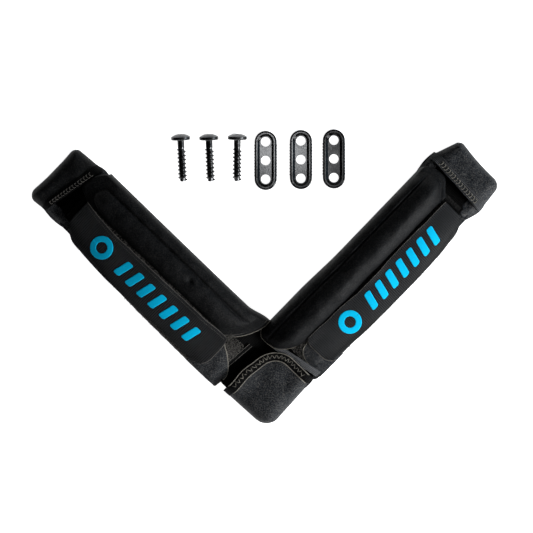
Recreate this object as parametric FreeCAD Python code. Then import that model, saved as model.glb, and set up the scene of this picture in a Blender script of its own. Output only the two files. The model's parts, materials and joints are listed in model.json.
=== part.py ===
import FreeCAD, Part
import math
import os

from FreeCAD import Placement, Rotation, Vector

# V-shaped foot strap for a surf kiteboard, lying flat, with its three screws and three washer plates.
# Millimetres. The origin is the centre anchor hole at the deck plane, +Y runs along the V's middle line
# and +Z is up. Each arm is drawn in its own frame: U outward along the arm, V towards the inside of the V,
# and H above the arm's arched underside. The right arm is turned into place and the left one is its mirror.

# ---- the V and its arch
HALF_OPENING = 45.0          # angle of each arm from the middle line, degrees
ARM_START, ARM_END = 27.0, 190.0
ARCH_END_Z = 1.2             # underside above the deck at the arm's ends
ARCH_RISE = 10.0             # how far the middle of the underside stands above its ends
FIT_GAP = 0.3                # between pieces that move on each other
LAYER_GAP = 0.1              # between layers that are sewn or glued together
CROTCH_CLEAR = 5.5           # arm pieces keep this far from the middle plane, so that the arms can lift

# ---- widths across an arm, as V from the outer edge to the inner one
PAD_V = (-19.6, 25.4)
WEBBING_V = (-10.5, 24.0)
TAPE_V = (-8.5, 22.0)
CLOSURE_V = (-21.3, 6.0)
CLOSURE_WALL = 1.1
FLAP_V = (-18.8, 1.7)
HEM_V = (2.1, 6.0)
PATCH_V = (-16.8, -2.0)
ROLL_V = (6.5, 32.5)
ROLL_WRAP_V = 25.8           # the roll comes down the inner edge outside this line
FOAM_V = (8.2, 19.2)
ROLL_U, FOAM_U = (31.0, 188.5), (48.0, 184.0)

# ---- layers through an arm, as H from bottom to top
LINER_H = (0.0, 1.2)
PAD_H = (1.3, 3.7)
END_WEBBING_H = (4.0, 5.5)
END_HOOK_H = (5.6, 6.3)
LOOP_TAPE_H = (6.6, 7.3)
ARM_WEBBING_H = (7.4, 9.0)
CLOSURE_H = (9.2, 10.3)
PATCH_H = (10.6, 11.2)
FLAP_H = (11.3, 12.9)
ROLL_FLOOR_H, ROLL_GROOVE_H, ROLL_CROWN_H = 9.2, 12.0, 17.0
FOAM_H = (10.6, 15.0)

# ---- outer anchor tab
TAB_START, TAB_END = 197.0, 217.5
TAB_V = (-13.5, 27.0)
TAB_WALL = 2.5
TAB_TOP, TAB_SKIN = 11.5, 2.6
TAB_CORNER = 5.0
BINDING_WIDTH = 4.5
SOLE_TOP = 1.9
TAB_WEBBING_Z = (2.0, 3.8)
TAB_HOLE_U = 206.5
TAB_HINGE_U, TAB_HINGE_Z = 193.0, 5.2

# ---- centre anchor, a rounded square whose sides face the arms
CENTRE_U = (-18.7, 22.3)
CENTRE_TOP, CENTRE_SKIN = 12.2, 2.6
CENTRE_BOTTOM_R, CENTRE_SIDE_R, CENTRE_ARCH_R = 9.5, 3.0, 20.0
ANCHOR_WEBBING_Z = ((2.0, 3.4), (3.5, 4.9))
ANCHOR_WEBBING_END = 23.3
HOLE_R = 3.4                 # punched hole for a 6.3 mm screw

# ---- hardware
PLATE_LENGTH, PLATE_WIDTH, PLATE_HEIGHT = 41.5, 15.6, 3.2
PLATE_FLOOR, PLATE_RIM = 1.4, 2.6
PLATE_HOLE_R, PLATE_PITCH = 3.3, 13.1
TOOTH_R, TOOTH_PITCH, TOOTH_COUNT, TOOTH_OUT = 0.75, 2.1, 11, 0.35
HEAD_R, HEAD_EDGE, HEAD_HEIGHT = 6.7, 2.2, 4.2
SHANK_R, SHANK_LENGTH = 2.4, 5.2
CORE_R, TIP_R, SCREW_LENGTH = 2.25, 1.7, 29.0
THREAD_R, THREAD_PITCH, THREAD_TURNS = 3.15, 2.8, 7.6
CREST_HALF, ROOT_HALF = 0.28, 0.95
RECESS_LENGTH, RECESS_WIDTH, RECESS_DEPTH = 7.0, 1.5, 2.4
SCREW_LIFT = 7.0             # degrees that the wide head raises the axis of a lying screw

# places in the kit, X and Y of the middle of each piece, and its turn about Z in degrees
SCREW_PLACES = (("screw_1", -56.8, 164.2, 1.8), ("screw_2", -37.2, 163.9, 1.3), ("screw_3", -18.0, 163.8, -1.6))
PLATE_PLACES = (("washer_plate_1", 1.9, 161.4, -1.0), ("washer_plate_2", 26.6, 161.6, -1.0),
                ("washer_plate_3", 49.7, 161.7, -1.0))

ARCH_MID_U = (ARM_START + ARM_END) / 2
ARCH_R = ((ARM_END - ARM_START) ** 2 / 4 + ARCH_RISE**2) / (2 * ARCH_RISE)
ARCH_CENTRE_Z = ARCH_END_Z + ARCH_RISE - ARCH_R
TALL = 80.0


# ---- drawing helpers
def outline(corners):
    """A closed wire in the XY plane through (x, y, radius) corners, each rounded by its own radius."""
    points = [Vector(x, y, 0) for x, y, _ in corners]
    edges, last = [], None
    for i, (_, _, radius) in enumerate(corners):
        here = points[i]
        back = (points[i - 1] - here).normalize()
        ahead = (points[(i + 1) % len(points)] - here).normalize()
        if radius > 0:
            half = math.acos(max(-1.0, min(1.0, back.dot(ahead)))) / 2
            reach = radius / math.tan(half)
            middle = (back + ahead).normalize()
            centre = here + middle * (radius / math.sin(half))
            first, bend, second = here + back * reach, centre - middle * radius, here + ahead * reach
        else:
            first, bend, second = here, None, here
        if last is not None and (first - last).Length > 1e-6:
            edges.append(Part.LineSegment(last, first).toShape())
        if bend is not None:
            edges.append(Part.Arc(first, bend, second).toShape())
        if i == 0:
            start = first
        last = second
    if (start - last).Length > 1e-6:
        edges.append(Part.LineSegment(last, start).toShape())
    return Part.Wire(Part.__sortEdges__(edges))


def outline_xz(points):
    """A closed polygon in the XZ plane."""
    corners = [Vector(x, 0, z) for x, z in points]
    return Part.makePolygon(corners + corners[:1])


def prism(corners, z0, z1):
    """The outline of these corners, extruded from z0 to z1."""
    face = Part.Face(outline(corners))
    face.translate(Vector(0, 0, z0))
    return face.extrude(Vector(0, 0, z1 - z0))


def box(u, v, z):
    """A block between pairs of U, V and Z limits."""
    return Part.makeBox(u[1] - u[0], v[1] - v[0], z[1] - z[0], Vector(u[0], v[0], z[0]))


def arch_angle(u, h):
    """The arch angle, in degrees, of a place U at height H."""
    return math.degrees(math.asin((u - ARCH_MID_U) / (ARCH_R + h)))


def arch_sweep(wire, u0, u1, h):
    """A (V, H) wire swept along the arch from U0 to U1, which are measured at height H."""
    face = Part.Face(wire)
    face.Placement = Placement(
        Vector(ARCH_MID_U, 0, ARCH_CENTRE_Z + ARCH_R), Rotation(Vector(0, 1, 0), Vector(0, 0, 1), Vector(1, 0, 0))
    )
    axis = Vector(ARCH_MID_U, 0, ARCH_CENTRE_Z)
    a0, a1 = arch_angle(u0, h), arch_angle(u1, h)
    face.rotate(axis, Vector(0, 1, 0), a0)
    return face.revolve(axis, Vector(0, 1, 0), a1 - a0)


def layer(v, h, u, corners=None, edge=0.0):
    """A flat layer of the arm between its V, H and U limits, trimmed to a plan outline if there is one."""
    section = outline([(v[0], h[0], edge), (v[1], h[0], edge), (v[1], h[1], edge), (v[0], h[1], edge)])
    solid = arch_sweep(section, u[0], u[1], (h[0] + h[1]) / 2)
    return solid.common(prism(corners, -20, TALL)) if corners else solid


def drilled(solid, u, v, radius=HOLE_R):
    """The solid with a vertical hole at U, V."""
    return solid.cut(Part.makeCylinder(radius, TALL, Vector(u, v, -TALL / 2)))


def tab_middle_v():
    return (TAB_V[0] + TAB_V[1]) / 2


# ---- the arm
def foot_liner():
    corners = [(ARM_START, PAD_V[0], 6), (ARM_START, -7, 8), (41, 8, 8), (41, PAD_V[1], 3),
               (187, PAD_V[1], 8), (187, PAD_V[0], 8)]
    return layer(PAD_V, LINER_H, (ARM_START - 2, ARM_END), corners)


def foot_pad():
    v = (PAD_V[0] + 0.6, PAD_V[1] - 0.4)
    corners = [(ARM_START + 1, v[0], 6), (ARM_START + 1, -7, 8), (42, 8, 8), (42, v[1], 3),
               (186, v[1], 8), (186, v[0], 8)]
    return layer(v, PAD_H, (ARM_START - 2, ARM_END), corners)


def arm_webbing():
    corners = [(30, WEBBING_V[0], 0), (30, WEBBING_V[1] - 10, 8), (40, WEBBING_V[1], 8), (183, WEBBING_V[1], 0),
               (183, WEBBING_V[0], 0)]
    return layer(WEBBING_V, ARM_WEBBING_H, (29, 184), corners)


def arm_loop_tape():
    return layer(TAPE_V, LOOP_TAPE_H, (44, 182))


def closure_panel():
    """The loop-faced fabric under the flap. It folds down the arm's outer edge."""
    (v0, v1), (h0, h1) = CLOSURE_V, CLOSURE_H
    fold = v0 + CLOSURE_WALL
    section = outline([(v0, 0.6, 0), (fold, 0.6, 0), (fold, h0, 0), (v1, h0, 0), (v1, h1, 0), (v0, h1, 1.0)])
    return arch_sweep(section, 40, 184, h0)


def roll_section():
    """The padded roll's cross-section, with a stitched groove and a flange down the arm's inner edge."""
    v0, v1 = ROLL_V
    wrap, floor, groove, crown = ROLL_WRAP_V, ROLL_FLOOR_H, ROLL_GROOVE_H, ROLL_CROWN_H
    return outline([(v0, floor, 0.4), (wrap, floor, 0), (wrap, 0.6, 0), (v1 - 1.6, 0.6, 1.2), (v1, 5.0, 3),
                    (v1 - 1.0, groove + 0.6, 3.4), (24.2, groove - 0.2, 2.6), (20.6, crown, 4.5), (9.4, crown, 4.5),
                    (v0, 12.2, 1.6)])


def crotch_block():
    """The space beside the middle plane that a right arm's pieces leave free, in the arm's frame."""
    block = Part.makeBox(80, 120, TALL + 40, Vector(CROTCH_CLEAR - 80, -20, -40))
    block.rotate(Vector(0, 0, 0), Vector(0, 0, 1), -HALF_OPENING)
    return block


def foam_solid(grow):
    """The roll's foam core, grown on every side by this much."""
    (v0, v1), (h0, h1) = FOAM_V, FOAM_H
    section = outline([(v0 - grow, h0 - grow, 1), (v1 + 2.5 + grow, h0 - grow, 1), (v1 + grow, h1 + grow, 3),
                       (v0 + grow, h1 + grow, 3)])
    start, end = FOAM_U[0] - grow, FOAM_U[1] + grow
    corners = [(start, v0 - 2, 6), (start, v1 + 4, 6), (end, v1 + 4, 8), (end, v0 - 2, 8)]
    return arch_sweep(section, start - 3, end + 2, h0).common(prism(corners, -20, TALL))


def roll_cover():
    v0, v1 = ROLL_V[0] - 1, ROLL_V[1] + 1
    start, end = ROLL_U
    corners = [(start + 15, v0, 6), (start, 14, 8), (start, v1, 3), (end, v1, 12), (end, v0, 9)]
    swept = arch_sweep(roll_section(), start - 3, end + 2.5, ROLL_CROWN_H / 2)
    return swept.common(prism(corners, -20, TALL)).cut(crotch_block()).cut(foam_solid(LAYER_GAP))


def roll_foam():
    return foam_solid(0)


def flap_hem():
    h = (CLOSURE_H[1] + LAYER_GAP, FLAP_H[1])
    return layer(HEM_V, h, (49, 179), [(49, HEM_V[0] - 1, 0), (49, HEM_V[1] + 1, 0), (179, HEM_V[1] + 1, 0),
                                       (179, HEM_V[0] - 1, 0)])


def cover_flap():
    corners = [(46, FLAP_V[0], 9), (46, FLAP_V[1], 0), (181, FLAP_V[1], 0), (181, FLAP_V[0], 6)]
    return layer(FLAP_V, FLAP_H, (44, 184), corners)


def hook_patch():
    return layer(PATCH_V, PATCH_H, (54, 173))


# ---- the adjustable end strap
def end_webbing():
    return layer(WEBBING_V, END_WEBBING_H, (112, ARM_END + 0.5))


def end_hook():
    return layer(TAPE_V, END_HOOK_H, (114, ARM_END - 3))


# ---- the outer anchor tab
def tab_outline(inset):
    u1, (v0, v1) = TAB_END - inset, TAB_V
    r = max(TAB_CORNER - inset, 1.0)
    return [(TAB_START, v0 + inset, 0), (u1, v0 + inset, r), (u1, v1 - inset, r), (TAB_START, v1 - inset, 0)]


def tab_cap():
    """A neoprene pocket, closed at its outer end and sides and open towards the arm."""
    shell = prism(tab_outline(0), 0.2, TAB_TOP)
    top_edges = [e for e in shell.Edges if e.BoundBox.ZMin > TAB_TOP - 0.01 and e.BoundBox.XMax > TAB_START + 1]
    shell = shell.makeFillet(2.2, top_edges)
    pocket = prism([(c[0] - (5 if c[0] == TAB_START else 0), *c[1:]) for c in tab_outline(TAB_WALL)], -1,
                   TAB_TOP - TAB_SKIN)
    mouth = box((TAB_START - 5, TAB_START + BINDING_WIDTH + LAYER_GAP), (TAB_V[0] - 1, TAB_V[1] + 1), (-1, TALL))
    return shell.cut(pocket).cut(mouth)


def tab_binding():
    """The tape sewn round the pocket's mouth: over the top and down both sides."""
    v0, v1 = TAB_V
    u = (TAB_START, TAB_START + BINDING_WIDTH)
    outer = box(u, (v0 - 0.2, v1 + 0.2), (0.2, TAB_TOP + 0.4))
    edges = [e for e in outer.Edges if e.BoundBox.ZMin > TAB_TOP and e.BoundBox.XLength > 1]
    outer = outer.makeFillet(2.4, edges)
    return outer.cut(box((u[0] - 1, u[1] + 1), (v0 + TAB_WALL - 0.4, v1 - TAB_WALL + 0.4),
                         (-1, TAB_TOP - TAB_SKIN - 0.3)))


def tab_sole():
    v = (TAB_V[0] + TAB_WALL + LAYER_GAP, TAB_V[1] - TAB_WALL - LAYER_GAP)
    end = TAB_END - TAB_WALL - LAYER_GAP
    corners = [(TAB_START + 1, v[0], 0), (end, v[0], 2.4), (end, v[1], 2.4), (TAB_START + 1, v[1], 0)]
    return drilled(prism(corners, 0, SOLE_TOP), TAB_HOLE_U, tab_middle_v())


def tab_webbing():
    """The end of the load strap: flat in the pocket with the screw hole, then up to the arm."""
    z0, z1 = TAB_WEBBING_Z
    v0, v1 = WEBBING_V
    rise = TAB_HINGE_Z - (z0 + z1) / 2
    start, end = TAB_HINGE_U + 1.4, TAB_END - TAB_WALL - 1.6
    side = outline_xz([(start, z0 + rise), (199.5, z0), (end, z0), (end, z1), (200.2, z1), (start, z1 + rise)])
    face = Part.Face(side)
    face.translate(Vector(0, v0, 0))
    return drilled(face.extrude(Vector(0, v1 - v0, 0)), TAB_HOLE_U, tab_middle_v())


# ---- the centre anchor, drawn in the right arm's frame, where U and V are its two upper sides
def centre_outline(inset):
    a, b = CENTRE_U[0] + inset, CENTRE_U[1]
    return [(a, a, max(CENTRE_BOTTOM_R - inset, 1)), (b, a, 0.01 if inset else CENTRE_SIDE_R), (b, b, CENTRE_ARCH_R),
            (a, b, 0.01 if inset else CENTRE_SIDE_R)]


def centre_mouth(depth):
    """The band of this depth along the two upper sides and the arch between them."""
    a, b = CENTRE_U
    inner = [(a - 20, a - 20, 0), (b - depth, a - 20, 0), (b - depth, b - depth, CENTRE_ARCH_R - depth),
             (a - 20, b - depth, 0)]
    return prism([(a - 5, a - 5, 0), (b + 5, a - 5, 0), (b + 5, b + 5, 0), (a - 5, b + 5, 0)], -20, TALL).cut(
        prism(inner, -21, TALL + 1))


def centre_cap():
    shell = prism(centre_outline(0), 0.2, CENTRE_TOP)
    low = [e for e in shell.Edges if e.BoundBox.ZMin > CENTRE_TOP - 0.01
           and (e.BoundBox.XMin < CENTRE_U[0] + 1 or e.BoundBox.YMin < CENTRE_U[0] + 1)]
    shell = shell.makeFillet(2.4, [e for e in low if min(e.BoundBox.XMax, e.BoundBox.YMax) < 15])
    a, b = CENTRE_U[0] + TAB_WALL, CENTRE_U[1] + 5
    pocket = prism([(a, a, CENTRE_BOTTOM_R - TAB_WALL), (b, a, 0), (b, b, 0), (a, b, 0)], -1,
                   CENTRE_TOP - CENTRE_SKIN)
    return shell.cut(pocket).cut(centre_mouth(BINDING_WIDTH + LAYER_GAP))


def centre_binding():
    top, a = CENTRE_TOP + 0.4, CENTRE_U[0]
    band = prism(centre_outline(0), 0.2, top).common(centre_mouth(BINDING_WIDTH))
    inner, b = a + TAB_WALL - 0.4, CENTRE_U[1] + 5
    return band.cut(prism([(inner, inner, 0), (b, inner, 0), (b, b, 0), (inner, b, 0)], -1,
                          CENTRE_TOP - CENTRE_SKIN - 0.3))


def centre_sole():
    a, b = CENTRE_U[0] + TAB_WALL + LAYER_GAP, CENTRE_U[1] - 0.2
    corners = [(a, a, CENTRE_BOTTOM_R - TAB_WALL), (b, a, 0), (b, b, CENTRE_ARCH_R), (a, b, 0)]
    return drilled(prism(corners, 0, SOLE_TOP), 0, 0)


def anchor_webbing(z):
    """One arm's load strap where it lies under the centre cap, in that arm's frame."""
    start = CENTRE_U[0] + TAB_WALL + 0.4
    v0, v1 = WEBBING_V[0] - 2, 16.5
    corners = [(start, v0, 5), (ANCHOR_WEBBING_END, v0, 0), (ANCHOR_WEBBING_END, 8, 0), (15, v1, 0), (start, v1, 0)]
    return drilled(prism(corners, *z), 0, 0)


# ---- hardware
def washer_plate():
    """A stadium-shaped tray with three holes, a raised rim and gripping teeth on its long sides."""
    edge, half = PLATE_WIDTH / 2, (PLATE_LENGTH - PLATE_WIDTH) / 2
    inner = edge - PLATE_RIM
    section = [(0, 0, 0), (edge, 0, 0.4), (edge, PLATE_HEIGHT, 1.3), (inner, PLATE_HEIGHT, 0.7),
               (inner - 0.5, PLATE_FLOOR, 0.8), (0, PLATE_FLOOR, 0)]
    face = Part.Face(outline(section))
    face.rotate(Vector(0, 0, 0), Vector(1, 0, 0), 90)
    far, near = face.translated(Vector(0, half, 0)), face.translated(Vector(0, -half, 0))
    side = near.extrude(Vector(0, 2 * half, 0))
    plate = side.fuse([side.mirror(Vector(0, 0, 0), Vector(1, 0, 0)),
                       far.revolve(Vector(0, half, 0), Vector(0, 0, 1), 180),
                       near.revolve(Vector(0, -half, 0), Vector(0, 0, 1), -180)]).removeSplitter()
    middle = (TOOTH_COUNT - 1) / 2
    teeth = [Part.makeCylinder(TOOTH_R, 1.8, Vector(s * (edge + TOOTH_OUT - TOOTH_R), (i - middle) * TOOTH_PITCH, 0))
             for s in (-1, 1) for i in range(TOOTH_COUNT)]
    plate = plate.fuse(teeth)
    for i in (-1, 0, 1):
        plate = drilled(plate, 0, i * PLATE_PITCH, PLATE_HOLE_R)
    return plate


def screw():
    """A pan-head screw with a coarse thread, head up, its underhead face at Z 0."""
    head_arc = Part.Arc(Vector(HEAD_R, 0, HEAD_EDGE), Vector(HEAD_R * 0.62, 0, HEAD_HEIGHT - 0.6),
                        Vector(0, 0, HEAD_HEIGHT)).toShape()
    line = [(0, HEAD_HEIGHT), (0, -SCREW_LENGTH), (TIP_R, -SCREW_LENGTH), (CORE_R, -SCREW_LENGTH + 2.4),
            (CORE_R, -SHANK_LENGTH - 0.8), (SHANK_R, -SHANK_LENGTH), (SHANK_R, -0.5), (SHANK_R + 0.5, 0),
            (HEAD_R - 0.5, 0), (HEAD_R, 0.5), (HEAD_R, HEAD_EDGE)]
    points = [Vector(x, 0, z) for x, z in line]
    edges = [head_arc] + [Part.LineSegment(a, b).toShape() for a, b in zip(points, points[1:])]
    body = Part.Face(Part.Wire(Part.__sortEdges__(edges))).revolve(Vector(0, 0, 0), Vector(0, 0, 1), 360)
    for turn in (0, 90):
        slot = Part.makeBox(RECESS_LENGTH, RECESS_WIDTH, RECESS_DEPTH + 2,
                            Vector(-RECESS_LENGTH / 2, -RECESS_WIDTH / 2, HEAD_HEIGHT - RECESS_DEPTH))
        slot.rotate(Vector(0, 0, 0), Vector(0, 0, 1), turn)
        body = body.cut(slot)
    return body.fuse(thread()).removeSplitter()


def thread():
    """The helical rib of the thread. Its root is sunk in the core."""
    root = CORE_R - 0.25
    helix = Part.makeHelix(THREAD_PITCH, THREAD_PITCH * THREAD_TURNS, root)
    rib = [Vector(root, 0, -ROOT_HALF), Vector(THREAD_R, 0, -CREST_HALF), Vector(THREAD_R, 0, CREST_HALF),
           Vector(root, 0, ROOT_HALF)]
    section = Part.makePolygon(rib + rib[:1])
    swept = Part.Wire(helix).makePipeShell([section], True, True)
    swept.translate(Vector(0, 0, -SCREW_LENGTH + 1.2))
    return swept


def lying_screw(x, y, turn):
    """A screw laid on the deck plane with its head towards +Y, resting on its head and thread."""
    shape = screw()
    shape.rotate(Vector(0, 0, 0), Vector(1, 0, 0), -90 + SCREW_LIFT)
    middle = (HEAD_HEIGHT - SCREW_LENGTH) / 2
    shape.translate(Vector(0, -middle * math.cos(math.radians(SCREW_LIFT)), 0))
    shape.rotate(Vector(0, 0, 0), Vector(0, 0, 1), turn)
    shape.translate(Vector(x, y, -shape.optimalBoundingBox(False).ZMin))
    return shape


# ---- placing and writing
def one_solid(shape, name):
    solids = shape.Solids
    if not solids:
        raise RuntimeError("no solid in " + name)
    biggest = max(solids, key=lambda s: s.Volume)
    if len(solids) > 1 and biggest.Volume < 0.995 * sum(s.Volume for s in solids):
        raise RuntimeError("pieces came apart in " + name)
    return biggest


def write(name, shape):
    solid = one_solid(shape, name)
    if not solid.isValid():
        raise RuntimeError("bad solid " + name)
    solid.exportStep("parts/" + name + ".step")


def write_pair(name, local):
    """The right arm's piece and its mirror image on the left."""
    right = local.copy()
    right.rotate(Vector(0, 0, 0), Vector(0, 0, 1), HALF_OPENING)
    write("right_" + name, right)
    write("left_" + name, right.mirror(Vector(0, 0, 0), Vector(1, 0, 0)))


def main():
    os.makedirs("parts", exist_ok=True)
    arm_pieces = (foot_liner, foot_pad, arm_webbing, arm_loop_tape, closure_panel, roll_cover, roll_foam, flap_hem,
                  cover_flap, hook_patch, end_webbing, end_hook, tab_cap, tab_binding, tab_sole, tab_webbing)
    for piece in arm_pieces:
        write_pair(piece.__name__, piece())
    for piece in (centre_cap, centre_binding, centre_sole):
        shape = piece()
        shape.rotate(Vector(0, 0, 0), Vector(0, 0, 1), HALF_OPENING)
        write(piece.__name__, shape)
    lower, upper = (anchor_webbing(z) for z in ANCHOR_WEBBING_Z)
    for shape in (lower, upper):
        shape.rotate(Vector(0, 0, 0), Vector(0, 0, 1), HALF_OPENING)
    write("left_anchor_webbing", lower.mirror(Vector(0, 0, 0), Vector(1, 0, 0)))
    write("right_anchor_webbing", upper)
    for name, x, y, turn in SCREW_PLACES:
        write(name, lying_screw(x, y, turn))
    for name, x, y, turn in PLATE_PLACES:
        plate = washer_plate()
        plate.rotate(Vector(0, 0, 0), Vector(0, 0, 1), turn)
        plate.translate(Vector(x, y, 0))
        write(name, plate)


main()
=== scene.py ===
import json
import math
import random

import bmesh
import bpy
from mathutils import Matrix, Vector, noise


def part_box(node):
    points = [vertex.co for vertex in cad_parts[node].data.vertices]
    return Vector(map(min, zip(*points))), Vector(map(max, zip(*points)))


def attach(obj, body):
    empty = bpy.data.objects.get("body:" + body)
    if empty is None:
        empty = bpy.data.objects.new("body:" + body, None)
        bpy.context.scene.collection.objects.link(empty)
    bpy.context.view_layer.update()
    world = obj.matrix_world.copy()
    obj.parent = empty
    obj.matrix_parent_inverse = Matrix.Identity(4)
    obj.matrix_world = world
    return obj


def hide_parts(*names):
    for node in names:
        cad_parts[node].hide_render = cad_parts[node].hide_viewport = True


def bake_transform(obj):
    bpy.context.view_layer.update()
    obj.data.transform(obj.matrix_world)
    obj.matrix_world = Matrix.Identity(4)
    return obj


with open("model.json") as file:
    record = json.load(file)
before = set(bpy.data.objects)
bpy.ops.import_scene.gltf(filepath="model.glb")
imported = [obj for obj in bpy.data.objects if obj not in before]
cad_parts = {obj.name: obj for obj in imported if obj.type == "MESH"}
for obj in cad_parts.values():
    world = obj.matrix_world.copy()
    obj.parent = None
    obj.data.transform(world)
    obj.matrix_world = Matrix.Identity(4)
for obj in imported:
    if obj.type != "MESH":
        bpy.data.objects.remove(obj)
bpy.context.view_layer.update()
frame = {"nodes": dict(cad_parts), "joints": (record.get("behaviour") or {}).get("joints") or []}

# Lengths are millimetres until place() or at() turns them into the frame's metres. Each arm is drawn in its
# own frame: U outward along the arm, V towards the inside of the V, and H above the arm's arched underside.
MM = 0.001
ON_CLOTH = 10 * MM      # a cloth's texture is laid out at this much per mm
DIAGONAL = math.sqrt(0.5)
MIRROR = {"right": 1, "left": -1}

# ---- the arch, from the joint that the end straps slide about
SLIDE_AXIS = next(joint["pos_m"] for joint in frame["joints"] if joint["name"] == "right_length_adjust")
ARCH_MID = (SLIDE_AXIS[0] + SLIDE_AXIS[1]) * DIAGONAL / MM
ARCH_Z = SLIDE_AXIS[2] / MM
LINER_T = 1.2
ARCH_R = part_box("right_foot_liner")[1].z / MM - LINER_T - ARCH_Z
STRAP_FLAT_Z = sum(limit.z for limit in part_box("right_anchor_webbing")) / 2 / MM

# ---- layers of an arm: the middle of each sheet as H, its thickness, and its V limits
PAD_MID, PAD_T = 2.6, 2.2
STRAP_MID, STRAP_T = 8.2, 1.5
END_STRAP_MID = 4.8
PANEL_MID, PANEL_T = 9.8, 1.1
FLAP_MID, FLAP_T = 12.0, 1.3
BASE_V = (-19.4, 25.2)
STRAP_V = (-10.5, 24.0)
PANEL_INNER_V = 9.0
FLAP_V = (-19.6, 6.0)
FLAP_MIDDLE_OUT = {"left": 1.7, "right": 0.0}     # how far the flap's outer edge bows out
DROOP, DROOP_FROM = 4.8, 5.0       # the layers hang down towards the arm's outer edge
GROOVE_V = 24.2
RIB_PITCH = 1.4

# ---- what differs between the two arms as they lie
# Roll: its V limits, its cross-section as (V, H), its two ends as (V, U), how far in from them the padding
# begins, over what length it rises, and its inner edge's reach and where along U that starts and is full.
# Flap and panel edges are (U, V) points, and the tongue's edge is (V, U). The tab has U at the two ends of its
# mouth and of its tip, and V limits at the mouth and at the tip.
LIE = {
    "left": {
        "roll_v": (7.4, 33.9), "roll_reach": (3.4, 52.0, 34.0), "seed": 3.0,
        "profile": ((7.4, 9.8), (9, 12.0), (11.5, 14.0), (15, 15.3), (19, 15.2), (22, 14.2), (24.2, 13.4),
                    (27, 13.0), (30.5, 11.4), (32.7, 8.6), (33.9, 4.6)),
        "roll_start": ((7.4, 47.2), (9, 45.6), (13, 41.4), (18, 37.4), (24, 34.2), (29, 32.7), (36, 32.5)),
        "roll_end": ((7.4, 181.0), (9, 183.5), (12, 190.5), (15.5, 193.2), (22, 191.6), (28, 188.8),
                     (33.2, 184.0)),
        "dome": (8.0, 12.5), "blunt": 14.0,
        "panel_edge": ((30, -22.6), (60, -22.2), (100, -21.6), (140, -20.3), (160, -19.0), (178, -17.6)),
        "flap_out": ((44, -19.8), (125, -19.6), (160, -17.9), (180, -16.2)),
        "flap_edge": ((44, 7.9), (67, 6.7), (106, 5.9), (150, 5.3), (168, 6.4), (182, 8.4)),
        "mouth": (199.6, 189.8), "tip": (215.0, 214.4), "tab_v": ((-15.8, 30.9), (-16.8, 29.4)),
        "tongue": ((-21, 28.7), (-12, 27.9), (-6, 32.0), (-0.3, 38.6), (4, 46.0)),
    },
    "right": {
        "roll_v": (4.6, 31.8), "roll_reach": (1.3, 105.0, 65.0), "seed": 11.0,
        "profile": ((4.6, 9.8), (6, 13.2), (9, 16.6), (13, 18.8), (17, 18.8), (20.5, 17.6), (24.2, 15.9),
                    (27, 14.4), (29.5, 11.8), (31, 8.2), (31.8, 4.6)),
        "roll_start": ((4.6, 48.0), (5.8, 41.0), (8, 35.2), (12.8, 28.4), (17, 25.4), (21, 24.5), (26, 24.4),
                       (29, 25.2), (31.8, 28.6)),
        "roll_end": ((4.6, 184.0), (8, 187.5), (12, 192.0), (15, 194.0), (22, 194.0), (28, 191.6),
                     (31.8, 187.0)),
        "dome": (0.0, 6.0), "blunt": 10.0,
        "panel_edge": ((30, -20.0), (44, -18.6), (62, -18.8), (80, -19.8), (145, -20.0), (163, -18.8),
                       (178, -16.8)),
        "flap_out": ((44, -17.8), (62, -18.2), (82, -19.6), (150, -19.6), (164, -18.4), (180, -16.4)),
        "flap_edge": ((44, 5.5), (78, 4.1), (97, 2.4), (131, 3.1), (155, 2.8), (184, 2.3)),
        "mouth": (193.8, 197.4), "tip": (216.8, 219.8), "tab_v": ((-18.8, 31.6), (-16.9, 24.6)),
        "tongue": ((-21, 32.6), (-9, 34.0), (-1.6, 35.6), (2.8, 39.4), (4, 46.0)),
    },
}


# ---- places
def arch(u, h):
    """Z above the deck of a place U at height H."""
    return ARCH_Z + math.sqrt((ARCH_R + h) ** 2 - (u - ARCH_MID) ** 2)


def at(side, u, v, z):
    """A place in the frame, from U, V and the height above the deck."""
    return Vector((MIRROR[side] * (u - v) * DIAGONAL, (u + v) * DIAGONAL, z)) * MM


def place(side, u, v, h):
    """A place in the frame, from U, V and H."""
    return at(side, u, v, arch(u, h))


def smooth(x, a=0.0, b=1.0):
    """An eased step from 0 at a to 1 at b."""
    t = max(0.0, min(1.0, (x - a) / (b - a)))
    return t * t * (3 - 2 * t)


def eased(share):
    """A share that changes slowly by 0 and by 1."""
    return 0.5 - 0.5 * math.cos(math.pi * share)


def mix(a, b, t):
    return a + (b - a) * t


def wobble(x, y, seed, size):
    """Slow unevenness between -1 and 1 over lengths of about this size."""
    return 2 * noise.noise(Vector((x / size, y / size, seed)))


def corner(distance, radius):
    """How far a rounded corner of this radius cuts in, at a distance from its side."""
    if distance >= radius:
        return 0.0
    return radius - math.sqrt(max(0.0, radius**2 - (radius - distance) ** 2))


def spread(a, b, count):
    """Values from a to b in a count of equal steps."""
    return [mix(a, b, i / count) for i in range(count + 1)]


def stations(a, b, step):
    """Places from a to b, about a step apart, and closer together by both ends."""
    edge = (0.0, 0.25, 0.7)
    count = max(2, round((b - a - 2 * edge[-1]) / step))
    middle = [mix(a + edge[-1], b - edge[-1], i / count) for i in range(1, count)]
    return [a + e for e in edge] + middle + [b - e for e in reversed(edge)]


def shares(length, step):
    """Stations along a length, as shares of it."""
    return [x / length for x in stations(0.0, length, step)]


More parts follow.
